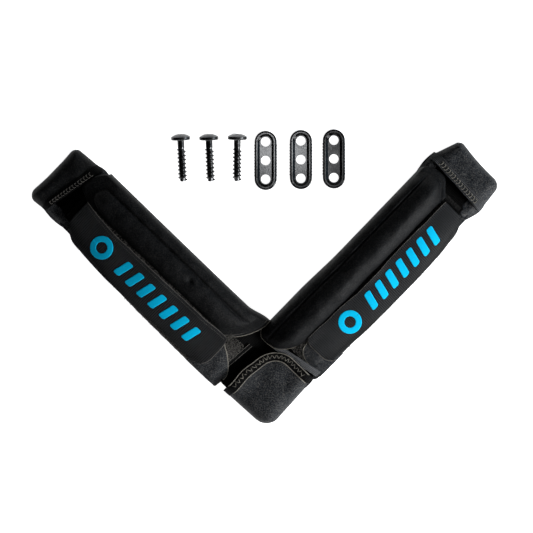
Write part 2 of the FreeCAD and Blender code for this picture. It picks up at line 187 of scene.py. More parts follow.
def through(points, x):
    """A smooth curve through (x, y) points."""
    xs = [p[0] for p in points]
    if x <= xs[0]:
        return points[0][1]
    if x >= xs[-1]:
        return points[-1][1]
    i = max(k for k in range(len(xs) - 1) if xs[k] <= x)
    before, a, b, after = points[max(i - 1, 0)], points[i], points[i + 1], points[min(i + 2, len(xs) - 1)]
    span = b[0] - a[0]
    slope_a = (b[1] - before[1]) / (b[0] - before[0]) * span
    slope_b = (after[1] - a[1]) / (after[0] - a[0]) * span
    t = (x - a[0]) / span
    return (
        (2 * t**3 - 3 * t**2 + 1) * a[1] + (t**3 - 2 * t**2 + t) * slope_a
        + (3 * t**2 - 2 * t**3) * b[1] + (t**3 - t**2) * slope_b
    )


def droop(v):
    """How far the layers hang down at V."""
    return DROOP * max(0.0, (DROOP_FROM - v) / (DROOP_FROM - BASE_V[0])) ** 2


# ---- meshes
def linked(name, data):
    """A new object of this data, in the scene."""
    obj = bpy.data.objects.new(name, data)
    bpy.context.scene.collection.objects.link(obj)
    return obj


def new_object(name, verts, faces, material, uvs=None):
    mesh = bpy.data.meshes.new(name)
    mesh.from_pydata([tuple(v) for v in verts], [], faces)
    if uvs:
        layer = mesh.uv_layers.new(name="cloth")
        for loop in mesh.loops:
            layer.data[loop.index].uv = uvs[loop.vertex_index]
    mesh.validate()
    mesh.materials.append(material)
    for face in mesh.polygons:
        face.use_smooth = True
    return linked(name, mesh)


def grid_faces(rows, columns, loop=False):
    wide = columns if loop else columns - 1
    return [
        (i * columns + j, i * columns + (j + 1) % columns, (i + 1) * columns + (j + 1) % columns,
         (i + 1) * columns + j)
        for i in range(rows - 1)
        for j in range(wide)
    ]


def applied(obj):
    """Applies the object's modifiers to its mesh."""
    mesh = bpy.data.meshes.new_from_object(obj.evaluated_get(bpy.context.evaluated_depsgraph_get()))
    obj.modifiers.clear()
    obj.data = mesh
    for face in mesh.polygons:
        face.use_smooth = True
    return obj


def rounded(obj):
    """Subdivides the object's mesh smoothly, after its other modifiers."""
    modifier = obj.modifiers.new("rounding", "SUBSURF")
    modifier.levels = 1
    modifier.render_levels = 1
    return applied(obj)


def outward(obj):
    """Turns every face outward, which mirroring upsets."""
    mesh = obj.data
    bm = bmesh.new()
    bm.from_mesh(mesh)
    bmesh.ops.recalc_face_normals(bm, faces=bm.faces)
    bm.to_mesh(mesh)
    bm.free()
    return obj


def tube_faces(rings, sides, first=0):
    """Faces round a stack of rings and over its two ends, with the points counted from first."""
    last = (rings - 1) * sides
    faces = grid_faces(rings, sides, loop=True)
    faces += [tuple(range(sides)), tuple(last + k for k in reversed(range(sides)))]
    return [tuple(first + n for n in face) for face in faces]


def cloth(name, surface, rows, across, thickness, material, smoothed=True):
    """A sheet of this thickness about surface(s, t), which gives a place and its U and V on the cloth."""
    verts, uvs = [], []
    for s in rows:
        for t in across:
            point, (u, v) = surface(s, t)
            verts.append(point)
            uvs.append((u * ON_CLOTH, v * ON_CLOTH))
    obj = new_object(name, verts, grid_faces(len(rows), len(across)), material, uvs)
    solid = obj.modifiers.new("thickness", "SOLIDIFY")
    solid.thickness = thickness * MM
    solid.offset = 0.0
    return outward(rounded(obj) if smoothed else applied(obj))


def inflate(obj, held, pressure, limit):
    """Lets air pressure fill out padding whose sewn or backed points are held, by at most the limit in mm."""
    frames = 10
    rest = [vertex.co.copy() for vertex in obj.data.vertices]
    obj.vertex_groups.new(name="held").add(held, 1.0, "ADD")
    modifier = obj.modifiers.new("padding", "CLOTH")
    modifier.point_cache.frame_start = 1
    modifier.point_cache.frame_end = frames
    values = {
        "quality": 3, "mass": 0.2, "tension_stiffness": 12, "compression_stiffness": 6,
        "bending_stiffness": 0.3, "use_pressure": True, "uniform_pressure_force": pressure,
        "vertex_group_mass": "held",
    }
    for key, value in values.items():
        setattr(modifier.settings, key, value)
    modifier.settings.effector_weights.gravity = 0
    for frame_number in range(1, frames + 1):
        bpy.context.scene.frame_set(frame_number)
    settled = obj.evaluated_get(bpy.context.evaluated_depsgraph_get()).data.vertices
    moves = [(vertex.co - start) for vertex, start in zip(settled, rest)]
    obj.modifiers.clear()
    obj.vertex_groups.clear()
    bpy.context.scene.frame_set(1)
    for vertex, start, move in zip(obj.data.vertices, rest, moves):
        if move.length > limit * MM:
            move = move.normalized() * limit * MM
        vertex.co = start + move


THREAD_SIDES = 6


def ring(centre, forward, radius):
    """Places round a thread at its centre, where the thread runs forward."""
    across = forward.cross(Vector((0, 0, 1))).normalized()
    over = across.cross(forward)
    turns = [2 * math.pi * k / THREAD_SIDES for k in range(THREAD_SIDES)]
    return [centre + (across * math.cos(a) + over * math.sin(a)) * radius * MM for a in turns]


def tube(name, path, radius, material):
    """A round thread or piping along a path of places."""
    verts = []
    for i, point in enumerate(path):
        forward = path[min(i + 1, len(path) - 1)] - path[max(i - 1, 0)]
        verts += ring(point, forward.normalized(), radius)
    obj = outward(new_object(name, verts, tube_faces(len(path), THREAD_SIDES), material))
    return obj


def seam(name, stitches, radius, material):
    """Stitches as (start, end) places, each a short plump thread, all one piece."""
    verts, faces = [], []
    profile = ((0.0, 0.45), (0.2, 0.95), (0.5, 1.0), (0.8, 0.95), (1.0, 0.45))
    for a, b in stitches:
        faces += tube_faces(len(profile), THREAD_SIDES, len(verts))
        for share, thick in profile:
            lift = Vector((0, 0, radius * MM * 0.8 * (thick - 0.6)))
            verts += ring(a.lerp(b, share) + lift, (b - a).normalized(), radius * thick)
    return outward(new_object(name, verts, faces, material))


def dashes(point, start, end, length, gap):
    """Stitches along point(x) for x from start to end."""
    found, x = [], start
    while x + length <= end:
        found.append((point(x), point(x + length)))
        x += length + gap
    return found


# ---- materials
WAVE = 10 * math.pi      # a wave texture's scale for ridges 1 mm apart, on cloth laid out at 0.01 per mm


def shader(name, color, roughness, metallic=0.0, sheen=0.0, sheen_roughness=0.4, specular=0.5):
    material = bpy.data.materials.new(name)
    material.use_nodes = True
    values = {
        "Base Color": (*color, 1), "Roughness": roughness, "Metallic": metallic, "Sheen Weight": sheen,
        "Sheen Roughness": sheen_roughness, "Specular IOR Level": specular, "IOR": 1.22,
    }
    for socket, value in values.items():
        material.node_tree.nodes["Principled BSDF"].inputs[socket].default_value = value
    return material


class Nodes:
    """A new material, with short names for building its nodes."""

    def __init__(self, name, color, roughness, **gloss):
        self.material = shader(name, color, roughness, **gloss)
        self.tree = self.material.node_tree
        self.bsdf = self.tree.nodes["Principled BSDF"]

    def add(self, kind, **settings):
        node = self.tree.nodes.new(kind)
        for key, value in settings.items():
            setattr(node, key, value)
        return node

    def link(self, a, b):
        self.tree.links.new(a, b)

    def coordinates(self, uv):
        node = self.add("ShaderNodeUVMap", uv_map="cloth") if uv else self.add("ShaderNodeTexCoord")
        return node.outputs["UV"] if uv else node.outputs["Object"]

    def noise(self, coordinates, scale, detail=2.0, roughness=0.5):
        node = self.add("ShaderNodeTexNoise")
        node.inputs["Scale"].default_value = scale
        node.inputs["Detail"].default_value = detail
        node.inputs["Roughness"].default_value = roughness
        self.link(coordinates, node.inputs["Vector"])
        return node.outputs["Fac"]

    def voronoi(self, coordinates, scale):
        node = self.add("ShaderNodeTexVoronoi")
        node.inputs["Scale"].default_value = scale
        self.link(coordinates, node.inputs["Vector"])
        return node.outputs["Distance"]

    def wave(self, coordinates, scale, direction):
        node = self.add("ShaderNodeTexWave", bands_direction=direction)
        node.inputs["Scale"].default_value = scale
        self.link(coordinates, node.inputs["Vector"])
        return node.outputs["Fac"]

    def math(self, operation, a, b):
        node = self.add("ShaderNodeMath", operation=operation)
        for socket, value in zip(node.inputs, (a, b)):
            if isinstance(value, (int, float)):
                socket.default_value = value
            else:
                self.link(value, socket)
        return node.outputs[0]

    def total(self, *parts):
        """The sum of outputs, each times its share."""
        first, *others = [self.math("MULTIPLY", output, share) for output, share in parts]
        for other in others:
            first = self.math("ADD", first, other)
        return first

    def ramp(self, factor, stops, target="Base Color"):
        """Drives the shader's colour or roughness from a factor."""
        node = self.add("ShaderNodeValToRGB")
        elements = node.color_ramp.elements
        while len(elements) < len(stops):
            elements.new(0.5)
        for element, (position, color) in zip(elements, stops):
            element.position = position
            element.color = (*color, 1)
        self.link(factor, node.inputs["Fac"])
        self.link(node.outputs["Color"], self.bsdf.inputs[target])

    def bump(self, height, strength, distance):
        node = self.add("ShaderNodeBump")
        node.inputs["Strength"].default_value = strength
        node.inputs["Distance"].default_value = distance
        self.link(height, node.inputs["Height"])
        self.link(node.outputs["Normal"], self.bsdf.inputs["Normal"])


def grey(value, tint=0.0):
    """A grey of this brightness, leaning to blue by tint."""
    return (value * (1 - tint), value, value * (1 + 1.4 * tint))


def neoprene(name, dark, light):
    """Neoprene faced with a fine knit: speckled, slightly blue, with a faint nap."""
    n = Nodes(name, grey(dark), 0.55, specular=0.35)
    place_on = n.coordinates(uv=False)
    fine = n.noise(place_on, 1400, 2.0, 0.6)
    patches = n.noise(place_on, 300, 3.0, 0.6)
    n.ramp(n.total((fine, 0.88), (patches, 0.12)),
           [(0.38, grey(dark, 0.1)), (0.5, grey(mix(dark, light, 0.3), 0.16)), (0.64, grey(light, -0.04))])
    n.ramp(patches, [(0.3, grey(0.45)), (0.7, grey(0.62))], "Roughness")
    knit = n.math("ADD", n.voronoi(place_on, 1500), n.math("MULTIPLY", fine, 0.8))
    n.bump(knit, 0.55, 0.0003)
    return n.material


def webbing(name, dark, light, weave_mm=1.5):
    """Flat woven strap: warp and weft ridges crossing."""
    n = Nodes(name, grey(dark), 0.7, specular=0.12)
    uv = n.coordinates(uv=True)
    scale = WAVE / weave_mm
    warp = n.wave(uv, scale, "X")
    weft = n.wave(uv, scale * 1.3, "Y")
    weave = n.math("MULTIPLY", warp, weft)
    speckle = n.noise(uv, 180, 2.0)
    n.ramp(n.math("MULTIPLY", n.math("ADD", weave, speckle), 0.6),
           [(0.25, grey(dark, 0.02)), (0.7, grey(light, 0.04))])
    n.bump(weave, 0.7, 0.0004)
    return n.material


def grosgrain(name, dark, light):
    """The flap's ribbed tape. Its ribs are in the mesh, and this shades them and adds their yarn."""
    n = Nodes(name, grey(dark), 0.6, specular=0.5)
    uv = n.coordinates(uv=True)
    ribs = n.wave(uv, WAVE / RIB_PITCH, "X")
    yarn = n.noise(uv, 260, 2.0, 0.7)
    cloud = n.noise(uv, 6, 3.0)
    n.ramp(n.total((ribs, 0.62), (yarn, 0.28), (cloud, 0.15)),
           [(0.25, grey(dark, 0.02)), (0.75, grey(light, 0.06))])
    n.bump(n.math("ADD", ribs, n.math("MULTIPLY", yarn, 0.5)), 0.5, 0.0002)
    return n.material


def pile(name, dark, light):
    """Loop fabric for hook tape: tangled and speckled."""
    n = Nodes(name, grey(dark), 0.8, sheen=0.04, sheen_roughness=0.5, specular=0.4)
    place_on = n.coordinates(uv=False)
    loops = n.voronoi(place_on, 900)
    fine = n.noise(place_on, 1400, 4.0, 0.8)
    n.ramp(n.total((loops, 0.5), (fine, 0.5)), [(0.44, grey(dark)), (0.66, grey(light, -0.04))])
    n.bump(n.math("ADD", loops, fine), 1.0, 0.0006)
    return n.material


def plain_yarn(name, color):
    """Sewing thread and thin piping."""
    n = Nodes(name, color, 0.55, sheen=0.05, specular=0.3)
    twist = n.noise(n.coordinates(uv=False), 1200, 2.0)
    n.ramp(twist, [(0.3, [c * 0.6 for c in color]), (0.7, [c * 1.4 for c in color])])
    n.bump(twist, 0.4, 0.0002)
    return n.material


def print_ink(name, color):
    """Screen print that lets the tape's yarn show a little."""
    n = Nodes(name, color, 0.75, specular=0.15)
    grain = n.noise(n.coordinates(uv=False), 1500, 3.0, 0.7)
    n.ramp(grain, [(0.25, [c * 0.78 for c in color]), (0.6, color)])
    n.bump(grain, 0.3, 0.0001)
    return n.material


def dark_steel(name, low, high, roughness):
    """Polished metal with a dark finish, faintly brushed and handled."""
    n = Nodes(name, grey(low), roughness, metallic=1.0)
    place_on = n.coordinates(uv=False)
    smear = n.noise(place_on, 90, 4.0, 0.6)
    grain = n.noise(place_on, 900, 2.0)
    n.ramp(smear, [(0.3, grey(low, 0.03)), (0.7, grey(high, 0.02))])
    n.ramp(n.total((smear, 0.6), (grain, 0.4)),
           [(0.3, grey(roughness * 0.7)), (0.7, grey(roughness * 1.5))], "Roughness")
    n.bump(grain, 0.08, 0.0001)
    return n.material


def rubber(name, value):
    """Moulded rubber, lightly pebbled."""
    n = Nodes(name, grey(value), 0.7, specular=0.4)
    dimples = n.voronoi(n.coordinates(uv=False), 700)
    n.ramp(dimples, [(0.2, grey(value * 1.5)), (0.7, grey(value * 0.7))])
    n.bump(dimples, 0.5, 0.0003)
    return n.material


NEOPRENE = neoprene("neoprene_knit", 0.0006, 0.012)
# Paler copy of the knit, for the caps, tongues, liners and gussets; on the right tab it is painted light,
# where the left tab keeps the dark knit.
NEOPRENE_PALE_AND_LIT = neoprene("neoprene_knit_pale_and_lit", 0.0015, 0.055)
# Black webbing, made darker still as painted shade where the strap shows between parts.
WEBBING = webbing("strap_webbing", 0.0004, 0.0022)
TAPE = webbing("binding_tape", 0.0005, 0.004, 1.1)
# Lighter copy of the binding tape, only on the right tab's band: painted light on the tab nearer the key.
PAINTED_LIT_TAPE = webbing("painted_lit_binding_tape", 0.012, 0.07, 1.1)
LIGHT_TAPE = webbing("light_binding_tape", 0.06, 0.19, 1.1)
GROSGRAIN = grosgrain("ribbed_tape", 0.0003, 0.013)
PILE = pile("loop_pile", 0.0006, 0.05)
HOOKS = pile("hook_tape", 0.002, 0.008)
SOLE = rubber("sole_rubber", 0.006)
PIPING = plain_yarn("piping", (0.15, 0.142, 0.122))
THREAD = plain_yarn("thread", (0.085, 0.081, 0.074))
DARK_THREAD = plain_yarn("dark_thread", (0.003, 0.003, 0.0035))
INK = print_ink("turquoise_print", (0.001, 0.42, 0.70))
SCREW_STEEL = dark_steel("screw_steel", 0.03, 0.09, 0.24)
PLATE_STEEL = dark_steel("plate_steel", 0.010, 0.030, 0.09)


# ---- the arms
def roll_inner_edge(side, u):
    """V of the roll's edge towards the middle of the V. The left one tucks under the right one."""
    reach, begins, full = LIE[side]["roll_reach"]
    return LIE[side]["roll_v"][1] + reach * smooth(u, begins, full)


def roll_top(side, u, v, start, end):
    """Height H of the roll's top face between the U of its two ends."""
    lie = LIE[side]
    profile = through(lie["profile"], v)
    inner, outer = lie["dome"]
    blunt = min((u - start - inner) / lie["blunt"], (end - outer - u) / 13.0)
    swell = (1 - (1 - max(0.0, min(1.0, blunt))) ** 2.2) ** 0.6
    flange = min(profile, 10.6 + 0.5 * smooth(v, 8, 20))
    groove = 1.6 * math.exp(-(((v - GROOVE_V) / 0.7) ** 2)) * swell
    dent = 1.7 * math.exp(-(((u - 92) / 2.6) ** 2) - ((v - 18.6) / 1.8) ** 2) if side == "left" else 0.0
    uneven = (0.45 * wobble(u, v, lie["seed"], 15) + 0.2 * wobble(u, v, lie["seed"] + 5, 6)) * swell
    rim = 0.9 * smooth(min(u - start, end - u), 2.4, 0.0)
    return mix(flange, profile, swell) - groove - dent + uneven - rim


def roll(side):
    """The padded roll, a closed form with a sewn channel."""
    lie = LIE[side]
    lo, hi = lie["roll_v"]
    across, along = 56, 150
    shares_across = [eased(j / (across - 1)) for j in range(across)]
    under = ((0.995, 2.6), (0.95, 1.2), (0.84, 1.2), (0.78, 3.6), (0.76, 8.2), (0.5, 8.9), (0.03, 8.9))
    verts, uvs = [], []
    for i in range(along + 1):
        share = mix(eased(i / along), i / along, 0.55)
        for j in range(across + len(under)):
            top = j < across
            a = shares_across[j] if top else under[j - across][0]
            v = mix(lo, hi, a)
            start, end = through(lie["roll_start"], v), through(lie["roll_end"], v)
            u = mix(start, end, share)
            h = roll_top(side, u, v, start, end) if top else under[j - across][1]
            closing = smooth(min(u - start, end - u), -0.6, 1.2)
            h = mix(9.4, h, closing) if h > 9.4 else h
            v += (roll_inner_edge(side, u) - hi) * a
            verts.append(place(side, u, v, h))
            uvs.append((u * ON_CLOTH, v * ON_CLOTH))
    columns = across + len(under)
    obj = outward(new_object(side + "_roll", verts, tube_faces(along + 1, columns), NEOPRENE, uvs))
    edge_rows, edge_columns = 9, 4
    held = [
        i * columns + j for i in range(along + 1) for j in range(columns)
        if min(i, along - i) < edge_rows or j < edge_columns or j >= across - edge_columns
        or abs(mix(lo, hi, shares_across[j]) - GROOVE_V) < 1.0
    ]
    inflate(obj, held, pressure=3.0, limit=0.8)
    rounded(obj)
    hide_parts(side + "_roll_cover", side + "_roll_foam")
    tip_blend(obj)


def tip_blend(obj):
    """Bakes the transform of a roll piece into its mesh."""
    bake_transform(obj)


def roll_place(side, u, v, lift):
    """A place on the roll's top face."""
    lie = LIE[side]
    start, end = through(lie["roll_start"], v), through(lie["roll_end"], v)
    return place(side, u, v, roll_top(side, u, v, start, end) + lift)


def roll_trim(side):
    """Stitches in the roll's groove, and the bound edge at its end near the middle of the V."""
    def point(u):
        return roll_place(side, u, GROOVE_V + 0.15 * math.sin(u), 0.12)

    obj = seam(side + "_roll_stitches", dashes(point, 46, 178, 1.5, 0.9), 0.26, DARK_THREAD)
    tip_blend(obj)
    lie = LIE[side]
    lo, hi = lie["roll_v"]
    lines = ((0.1, 0.32, PIPING), (2.1, 0.2, THREAD)) if side == "left" else ((-0.1, 0.24, PIPING),)
    for number, (inset, radius, material) in enumerate(lines):
        path = []
        for v in spread(lo, hi, 60):
            u = through(lie["roll_start"], v) + inset
            sink = 0.0 if side == "left" else -0.6
            v += (roll_inner_edge(side, u) - hi) * (v - lo) / (hi - lo)
            path.append(place(side, u, v, (10.0 if inset < 1 else 10.75) + sink))
        tip_blend(tube("%s_roll_piping_%d" % (side, number + 1), path, radius, material))


def flap_start(v):
    return 44.2 + 2.2 * smooth(v, 0, 8) + corner(v - FLAP_V[0], 9.0)


def flap_end(v):
    return 181.0 - corner(v - FLAP_V[0], 11.0)


def flap_edge(side, u):
    """V of the flap's sewn edge beside the roll."""
    return through(LIE[side]["flap_edge"], u) - 0.25 * wobble(u, 0, LIE[side]["seed"], 12)


def flap_height(side, u, v):
    seed = LIE[side]["seed"]
    lift = 0.7 * smooth(v, FLAP_V[1] - 7, FLAP_V[1]) * (1 + wobble(u, 3, seed, 20))
    ripple = 0.35 * wobble(u, v, seed + 2, 24)
    curl = 0.9 * smooth(u, 60, 46) * smooth(v, -8, -19)
    return FLAP_MID - 1.15 * droop(v) + lift + ripple + curl


def flap_surface(side, s, t):
    """A place on the flap's ribbed middle surface, and its U and V on the cloth."""
    v = mix(FLAP_V[0], FLAP_V[1], t)
    u = mix(flap_start(v), flap_end(v), s)
    bow = FLAP_MIDDLE_OUT[side] * smooth(u, 80, 140) * smooth(u, 180, 165)
    v = mix(through(LIE[side]["flap_out"], u) - bow, flap_edge(side, u), t)
    ridge = -0.12 * math.cos(2 * math.pi * u / RIB_PITCH)
    return place(side, u, v, flap_height(side, u, v) + ridge), (u, v)


def flap(side):
    rows = [0.0, 0.0012, 0.004] + spread(0.006, 0.994, 600) + [0.996, 0.9988, 1.0]
    obj = cloth(side + "_cover_flap_tape", lambda s, t: flap_surface(side, s, t), rows, shares(25.4, 1.1),
                FLAP_T, GROSGRAIN, smoothed=False)
    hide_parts(side + "_cover_flap", side + "_flap_hem")
    hinge_blend(obj, side)


def hinge_blend(obj, side):
    """Bakes the transform of a piece of the flap into its mesh."""
    place(side, 113, 5.2, 24)
    place(side, 113, -1.5, 24)
    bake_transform(obj)


def flap_piping(side):
    """The cut edge of the flap along the roll, with a second line on the left arm, and round its end."""
    lines = ((0.1, 0.22), (-1.9, 0.16)) if side == "left" else ((0.1, 0.22),)
    for number, (inset, radius) in enumerate(lines):
        path = []
        for u in spread(46.5, flap_end(5), 130):
            v = flap_edge(side, u) + inset
            path.append(place(side, u, v, flap_height(side, u, v) + 0.55))
        hinge_blend(tube("%s_flap_edge_%d" % (side, number + 1), path, radius, THREAD), side)
    path = [place(side, flap_start(v) - 0.2, v, flap_height(side, flap_start(v), v) + 0.2)
            for v in spread(FLAP_V[0] + 0.6, 5.0, 40)]
    hinge_blend(tube(side + "_flap_end_edge", path, 0.24, THREAD), side)


# The print on each flap is a plain ring and seven slanted bars.
PRINT_V = -7.4
PRINT = {
    "left": {"ring": 152.0, "bars": (131.0, 66.0), "slant": -1},
    "right": {"ring": 75.0, "bars": (96.0, 158.0), "slant": 1},
}
BAR_COUNT, BAR_LENGTH, BAR_WIDTH, BAR_SLANT = 7, 12.4, 5.4, 3.2
RING_R, RING_HOLE = 8.2, 4.0


def ink_patch(side, name, shape, rows, columns):
    """A patch of print that lies on the flap, from shape(s, t) as U and V."""
    verts = []
    for s in spread(0.0, 1.0, rows):
        for t in spread(0.0, 1.0, columns):
            u, v = shape(s, t)
            verts.append(place(side, u, v, flap_height(side, u, v) + FLAP_T / 2 + 0.18))
    obj = new_object(name, verts, grid_faces(rows + 1, columns + 1), INK)
    solid = obj.modifiers.new("film", "SOLIDIFY")
    solid.thickness = 0.05 * MM
    outward(applied(obj))
    hinge_blend(obj, side)


def flap_print(side):
    """The ring and the bars."""
    style = PRINT[side]
    ring = style["ring"]

    def ring_shape(s, t):
        radius, angle = mix(RING_HOLE, RING_R, t), 2 * math.pi * s
        return ring + radius * math.cos(angle), PRINT_V + radius * math.sin(angle)

    ink_patch(side, side + "_print_ring", ring_shape, 72, 8)
    first, last = style["bars"]
    for k in range(BAR_COUNT):
        middle = mix(first, last, k / (BAR_COUNT - 1))

        def bar_shape(s, t, middle=middle):
            y = mix(-BAR_LENGTH / 2, BAR_LENGTH / 2, s)
            half = BAR_WIDTH / 2 - corner(BAR_LENGTH / 2 - abs(y), 1.4)
            return middle + style["slant"] * BAR_SLANT * y / BAR_LENGTH + mix(-half, half, t), PRINT_V + y

        ink_patch(side, "%s_print_bar_%d" % (side, k + 1), bar_shape, 40, 10)


def panel_path(side, u, t):
    """V and H across the loop panel: flat under the flap, then folded down the arm's outer edge."""
    edge = through(LIE[side]["panel_edge"], u)
    fold = 1.5
    flat, bend, fall = PANEL_INNER_V - edge - fold, 2.4, 5.0
    x = t * (flat + bend + fall)
    if x < flat:
        v = PANEL_INNER_V - x
        return v, PANEL_MID - droop(v)
    corner_h = PANEL_MID - droop(edge + fold)
    if x < flat + bend:
        a = (x - flat) / bend * math.pi / 2
        return edge + fold - fold * math.sin(a), corner_h - fold * (1 - math.cos(a))
    return edge, corner_h - fold - (x - flat - bend)


def panel_start(v):
    return 33.0 + 9.0 * smooth(v, -6, -12) + corner(max(0.0, v + 19.5), 7.0)


def panel(side):
    """The loop-faced panel that the flap closes on."""
    seed = LIE[side]["seed"]

    def surface(s, t):
        along = mix(36.0, 178.0, s)
        v, h = panel_path(side, along, t)
        edge = through(LIE[side]["panel_edge"], along)
        u = mix(panel_start(v), 178.5 - corner(v - edge, 12.0), s)
        rough = 0.3 * wobble(u, v, seed, 3.0) + 0.4 * wobble(u, v, seed + 1, 12.0)
        fall = mix(arch(u, h), strap_height(u) + 1.2, smooth(u, 44, 36))
        return at(side, u, v - (0.5 * abs(rough) if t > 0.7 else 0), fall + 0.4 * rough), (u, v)

    obj = cloth(side + "_loop_panel", surface, shares(147.0, 1.0), shares(35.0, 1.2), PANEL_T, PILE)
    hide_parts(side + "_closure_panel", side + "_arm_loop_tape")
    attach(obj, side + "_arm")


def fuzz(side):
    """Loose filaments of the loop panel, where the flap leaves it bare."""
    rng = random.Random(7 if side == "left" else 8)
    verts, faces = [], []

    def filament(base, lean, length):
        rings = 4
        faces.extend(tube_faces(rings, 3, len(verts)))
        across = lean.cross(Vector((0, 0, 1))).normalized()
        for share in spread(0.0, 1.0, rings - 1):
            rise = Vector((0, 0, 1)) * length * 0.7 * math.sin(share * math.pi)
            for turn in (-1, 0, 1):
                offset = across * turn * 0.09 * MM + Vector((0, 0, 0.09 * MM * (1 - abs(turn))))
                verts.append(base + lean * length * share + rise + offset)

    filaments = 1500
    for _ in range(filaments):
        if rng.random() < 0.62:
            u = rng.uniform(48, 172)
            v = through(LIE[side]["panel_edge"], u) + rng.uniform(-0.2, 1.6)
        else:
            u, v = rng.uniform(33.5, 46), rng.uniform(-2, 12)
        z = mix(arch(u, PANEL_MID - droop(v)), strap_height(u) + 1.2, smooth(u, 44, 36)) + 0.5
        lean = Vector((rng.uniform(-1, 1), rng.uniform(-1, 1), 0)).normalized()
        filament(at(side, u, v, z), lean, rng.uniform(0.5, 1.5) * MM)
    obj = outward(new_object(side + "_loop_fuzz", verts, faces, THREAD))
    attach(obj, side + "_arm")


def liner_start(v):
    """U of the foot pad's tongue near the middle of the V."""
    return 26.5 + 15.0 * smooth(v, -8, 9) + corner(v - BASE_V[0], 6.0)


def base_layers(side):
    """The knit-faced foot liner and the foam pad above it."""
    rows = shares(160.0, 1.6)
    across = shares(45.0, 1.4)
    seed = LIE[side]["seed"] + 20

    def surface(mid, inset, s, t):
        v = mix(BASE_V[0] + inset, BASE_V[1] - inset, t)
        far = 187.5 - corner(v - BASE_V[0], 4) - corner(BASE_V[1] - v, 4)
        u = mix(liner_start(v) + inset, far - inset, s)
        v += 2.6 * smooth(u, 163, 177) * (1 - t)
        sag = 0.25 * wobble(u, v, seed, 12)
        return place(side, u, v, mid + sag), (u, v)

    liner = cloth(side + "_foot_liner_knit", lambda s, t: surface(0.65, 0.0, s, t), rows, across, LINER_T,
                  NEOPRENE_PALE_AND_LIT)
    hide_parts(side + "_foot_liner")
    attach(liner, side + "_arm")
    pad = cloth(side + "_foot_pad_foam", lambda s, t: surface(PAD_MID, 0.4, s, t), rows, across, PAD_T,
                NEOPRENE_PALE_AND_LIT)
    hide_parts(side + "_foot_pad")
    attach(pad, side + "_arm")


def tongue(side):
    """The knit tongue that covers the strap's outer half beside the centre cap, with its bound edge."""
    points = LIE[side]["tongue"]
    lo, hi = (-22.9 if side == "left" else -19.4), 4.0
    seed = LIE[side]["seed"] + 30

    def surface(s, t):
        v = mix(lo, hi, t)
        start = through(points, v) + corner(v - lo, 1.2)
        u = mix(start, 56.0, s)
        z = strap_height(u) + 2.0 - 0.5 * droop(v) - 1.2 * smooth(v, -12, -20)
        z = min(z, arch(u, 11.1 - 1.15 * droop(v))) + 0.3 * wobble(u, v, seed, 9)
        return at(side, u, v, z), (u, v)

    obj = cloth(side + "_tongue", surface, shares(28.0, 1.1), shares(24.0, 1.1), 1.6, NEOPRENE_PALE_AND_LIT)
    arm_blend(obj, side)
    path = [surface(0.0, t)[0] + Vector((0, 0, 0.6 * MM)) for t in spread(0.0, 1.0, 50)]
    arm_blend(tube(side + "_tongue_piping", path, 0.38, PIPING), side)


def arm_blend(obj, side):
    """Bakes the transform of a piece between the centre anchor and an arm into its mesh."""
    place(side, 21.5, 3, 3)
    place(side, 28.5, 3, 3)
    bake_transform(obj)


def strap_band(side):
    """The light band across the strap beside the cap on the right, or the loop panel's hem on the left."""
    if side == "right":
        first, last, width, lift = (24.4, 17.6), (31.4, -17.4), 4.6, 2.4
    else:
        first, last, width, lift = (29.4, 15.5), (31.4, -6.5), 2.6, 1.25

    def surface(s, t):
        u = mix(first[0], last[0], t) + width * s
        v = mix(first[1], last[1], t)
        fall = 0.3 * droop(v) - 1.6 * (1 - t)
        return at(side, u, v, strap_height(u) + lift - fall), (s * width, v)

    obj = cloth(side + "_strap_band", surface, shares(width, 0.7), shares(33.0, 1.0), 0.9,
                LIGHT_TAPE if side == "right" else TAPE)
    arm_blend(obj, side)
    if side == "left":
        for number, s in enumerate((0.06, 0.94)):
            path = [surface(s, t)[0] + Vector((0, 0, 0.45 * MM)) for t in spread(0.0, 1.0, 30)]
            arm_blend(tube("left_strap_band_line_%d" % (number + 1), path, 0.2, THREAD), side)


def strap_height(u):
    """Z of the load strap's middle: flat under the centre cap, then up onto the arm."""
    return mix(STRAP_FLAT_Z, arch(u, STRAP_MID), smooth(u, 22.5, 40.0))


def load_strap(side):
    """The webbing from under the centre cap onto the arm."""
    lo, hi = STRAP_V
    overlap = 1.6 if side == "left" else -0.3

    def inner(u):
        return min(hi + 9.5 * smooth(u, 46, 36), max(u + overlap, 14.0))

    def outer(u):
        return lo - 7.4 * smooth(u, 36, 27) * smooth(u, 12, 21)

    def surface(s, t):
        u = mix(-15.5, 183.0, s)
        v = mix(outer(u), inner(u), t)
        return at(side, u, v, strap_height(u)), (u, v)

    obj = cloth(side + "_load_strap", surface, shares(198.5, 1.6), shares(34.5, 1.6), STRAP_T, WEBBING)
    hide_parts(side + "_arm_webbing", side + "_anchor_webbing")
    arm_blend(obj, side)


def end_strap_height(u):
    """Z of the end strap's middle: inside the arm, then down to the tab's sole."""
    on_sole = 2.9
    return mix(arch(u, END_STRAP_MID), on_sole, smooth(u, 189.0, 199.5))


def end_strap(side):
    """The webbing that slides into the arm and carries the outer anchor."""
    lo, hi = STRAP_V

    def surface(s, t):
        u, v = mix(114.0, 212.5, s), mix(lo, hi, t)
        return at(side, u, v, end_strap_height(u)), (u, v)

    obj = cloth(side + "_end_strap_webbing", surface, shares(98.5, 1.3), shares(34.5, 1.6), STRAP_T, WEBBING)
    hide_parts(side + "_end_webbing", side + "_tab_webbing")
    tab_blend(obj, side, 190.5, 196)


def tab_blend(obj, side, start_u, end_u):
    """Bakes the transform of a piece between the end strap and its tab into its mesh."""
    place(side, start_u, 6, 5)
    place(side, end_u, 6, 5)
    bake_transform(obj)


# ---- anchor tabs
def tab_limits(side, t):
    """U of the pocket's mouth and of its outer end, at a share T across it."""
    lie = LIE[side]
    hollow = 1.2 * math.sin(math.pi * min(1.0, max(0.0, t)))
    return mix(*lie["mouth"], t), mix(*lie["tip"], t) - hollow


